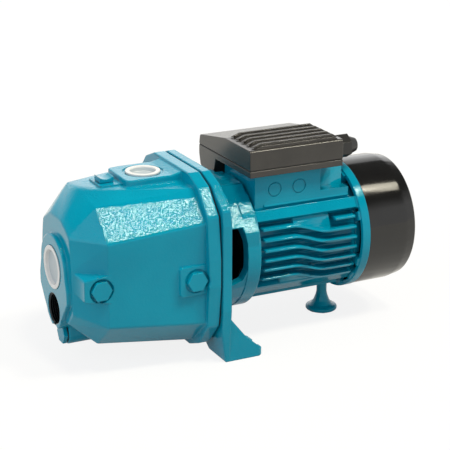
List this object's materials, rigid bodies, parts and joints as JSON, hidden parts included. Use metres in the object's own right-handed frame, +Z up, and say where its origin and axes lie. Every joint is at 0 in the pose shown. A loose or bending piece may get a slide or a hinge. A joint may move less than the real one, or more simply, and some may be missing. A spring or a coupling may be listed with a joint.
{
  "type": "jet pump",
  "caption": "Electric jet pump for a well: faceted cast casing with two front ports and one on top, footed bracket, finned motor, fan cover and terminal box.",
  "frame": {"origin": "centre of the pump's bounding box at floor level", "axes": "+X along the shaft from the suction port to the fan cover, +Z up, +Y to the pump's left seen from the suction port's side"},
  "size_m": [0.37, 0.174, 0.2039],
  "materials": {
    "casing_enamel": "gloss teal enamel over sand-cast iron",
    "bracket_enamel": "gloss teal enamel over cast aluminium",
    "motor_enamel": "gloss teal enamel over die-cast aluminium",
    "plug_enamel": "gloss teal enamel",
    "cap_plastic": "moulded off-white plastic",
    "rubber": "matt black rubber",
    "steel": "machined steel",
    "laminations": "stacked steel sheet",
    "copper": "varnished copper wire",
    "impeller_brass": "machined brass",
    "moulded_plastic": "moulded plastic",
    "seal_face": "lapped ceramic and carbon",
    "cover_plastic": "glossy black plastic",
    "box_plastic": "moulded dark grey plastic",
    "gland_plastic": "moulded black plastic",
    "capacitor_can": "drawn aluminium can"
  },
  "bodies": {
    "pump": {"pump_casing": "casing_enamel", "side_plugs": "plug_enamel", "side_plug_washers": "steel", "diffuser": "moulded_plastic", "seal_seat": "seal_face", "casing_gasket": "rubber", "motor_bracket": "bracket_enamel", "casing_bolts": "steel", "front_bearing_outer": "steel", "rear_bearing_outer": "steel", "motor_housing": "motor_enamel", "stator_core": "laminations", "front_winding": "copper", "rear_winding": "copper", "rear_end_shield": "motor_enamel", "wave_washer": "steel", "tie_bolts": "steel", "fan_cover": "cover_plastic", "box_base": "box_plastic", "box_gasket": "rubber", "box_lid": "box_plastic", "box_screws": "steel", "capacitor": "capacitor_can", "terminal_block": "moulded_plastic", "cable_gland": "gland_plastic", "gland_nut": "gland_plastic", "gland_seal": "rubber", "support_foot": "motor_enamel"},
    "rotor": {"impeller": "impeller_brass", "impeller_key": "steel", "impeller_nut": "steel", "seal_ring": "seal_face", "seal_bellows": "rubber", "shaft": "steel", "slinger": "rubber", "front_bearing_inner": "steel", "front_bearing_balls": "steel", "rear_bearing_inner": "steel", "rear_bearing_balls": "steel", "rotor_core": "laminations", "cooling_fan": "moulded_plastic", "fan_clip": "steel"},
    "suction_cap": {"suction_cap": "cap_plastic"},
    "discharge_cap": {"discharge_cap": "cap_plastic"},
    "priming_plug": {"priming_plug": "plug_enamel", "priming_washer": "rubber"},
    "drain_plug": {"drain_plug": "plug_enamel", "drain_washer": "rubber"}
  },
  "joints": [
    {"name": "rotor_spin", "type": "hinge", "parent": "pump", "child": "rotor", "pos_m": [0, 0, 0.0945], "axis": [1, 0, 0], "continuous": true},
    {"name": "suction_cap_pull", "type": "slide", "parent": "pump", "child": "suction_cap", "axis": [-1, 0, 0], "range_m": [0, 0.06]},
    {"name": "discharge_cap_pull", "type": "slide", "parent": "pump", "child": "discharge_cap", "axis": [0, 0, 1], "range_m": [0, 0.05]},
    {"name": "priming_plug_lift", "type": "slide", "parent": "pump", "child": "priming_plug", "axis": [0, 0, 1], "range_m": [0, 0.04]},
    {"name": "drain_plug_pull", "type": "slide", "parent": "pump", "child": "drain_plug", "axis": [-1, 0, 0], "range_m": [0, 0.03]}
  ]
}
